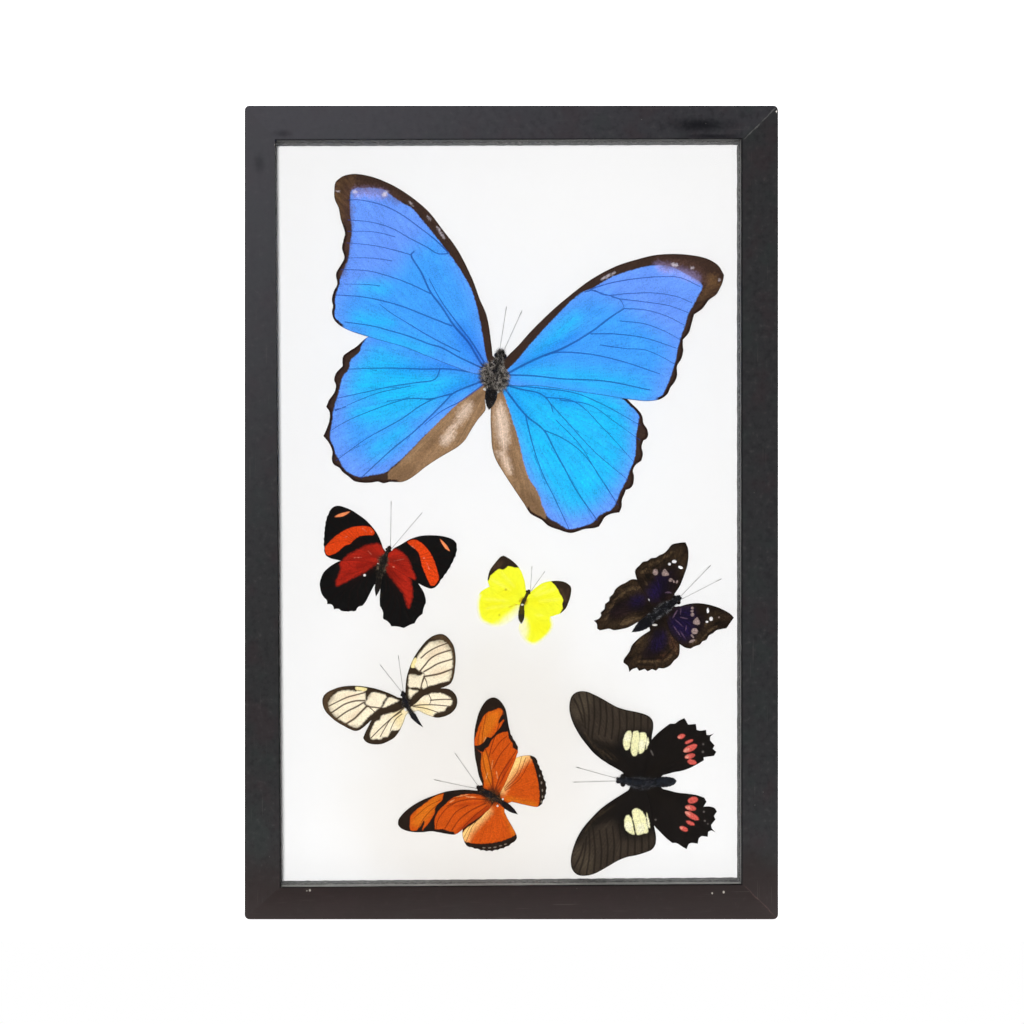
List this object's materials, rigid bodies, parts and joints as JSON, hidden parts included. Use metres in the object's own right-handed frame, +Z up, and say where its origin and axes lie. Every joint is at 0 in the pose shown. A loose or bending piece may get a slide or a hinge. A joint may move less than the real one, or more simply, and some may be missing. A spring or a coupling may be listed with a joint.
{
  "type": "framed butterfly specimen",
  "caption": "Set butterflies of mixed kinds, fixed flat on an off-white board behind glass in an upright black-stained wooden frame.",
  "frame": {"origin": "the middle of the box's width and depth, at the underside of the bottom rail", "axes": "+Z up along the frame's height, +Y towards the back panel and the wall, so the glass faces -Y, and +X to the right as seen from the front"},
  "size_m": [0.2, 0.0242, 0.305],
  "materials": {
    "black_wood": "black stain, satin",
    "clear_glass": "clear polished",
    "grey_spacer": "matt grey",
    "white_board": "off-white, faintly yellowed low down",
    "brown_hardboard": "rough brown hardboard",
    "zinc_steel": "dull zinc plate",
    "dark_body": "dry, hairy",
    "blue_morpho_wing": "metallic blue scales",
    "red_cramer_wing": "matt scales, black with orange-red bands",
    "lemon_yellow_wing": "matt yellow scales, brown tips",
    "purple_emperor_wing": "dark brown scales with a purple sheen",
    "glasswing_wing": "thinly scaled cream cells, dark veins",
    "orange_julia_wing": "matt orange scales, black margins",
    "rose_swallowtail_wing": "black scales, cream and rose patches"
  },
  "bodies": {
    "root": {"top_rail": "black_wood", "bottom_rail": "black_wood", "left_rail": "black_wood", "right_rail": "black_wood", "front_glass": "clear_glass", "top_spacer": "grey_spacer", "bottom_spacer": "grey_spacer", "left_spacer": "grey_spacer", "right_spacer": "grey_spacer", "mount_board": "white_board", "back_panel": "brown_hardboard", "back_point_1": "zinc_steel", "back_point_2": "zinc_steel", "back_point_3": "zinc_steel", "back_point_4": "zinc_steel", "back_point_5": "zinc_steel", "back_point_6": "zinc_steel", "hanger": "zinc_steel", "hanger_nail_left": "zinc_steel", "hanger_nail_right": "zinc_steel", "blue_morpho_body": "dark_body", "blue_morpho_left_forewing": "blue_morpho_wing", "blue_morpho_right_forewing": "blue_morpho_wing", "blue_morpho_left_hindwing": "blue_morpho_wing", "blue_morpho_right_hindwing": "blue_morpho_wing", "red_cramer_body": "dark_body", "red_cramer_left_forewing": "red_cramer_wing", "red_cramer_right_forewing": "red_cramer_wing", "red_cramer_left_hindwing": "red_cramer_wing", "red_cramer_right_hindwing": "red_cramer_wing", "lemon_yellow_body": "dark_body", "lemon_yellow_left_forewing": "lemon_yellow_wing", "lemon_yellow_right_forewing": "lemon_yellow_wing", "lemon_yellow_left_hindwing": "lemon_yellow_wing", "lemon_yellow_right_hindwing": "lemon_yellow_wing", "purple_emperor_body": "dark_body", "purple_emperor_left_forewing": "purple_emperor_wing", "purple_emperor_right_forewing": "purple_emperor_wing", "purple_emperor_left_hindwing": "purple_emperor_wing", "purple_emperor_right_hindwing": "purple_emperor_wing", "glasswing_body": "dark_body", "glasswing_left_forewing": "glasswing_wing", "glasswing_right_forewing": "glasswing_wing", "glasswing_left_hindwing": "glasswing_wing", "glasswing_right_hindwing": "glasswing_wing", "orange_julia_body": "dark_body", "orange_julia_left_forewing": "orange_julia_wing", "orange_julia_right_forewing": "orange_julia_wing", "orange_julia_left_hindwing": "orange_julia_wing", "orange_julia_right_hindwing": "orange_julia_wing", "rose_swallowtail_body": "dark_body", "rose_swallowtail_left_forewing": "rose_swallowtail_wing", "rose_swallowtail_right_forewing": "rose_swallowtail_wing", "rose_swallowtail_left_hindwing": "rose_swallowtail_wing", "rose_swallowtail_right_hindwing": "rose_swallowtail_wing"}
  },
  "joints": []
}
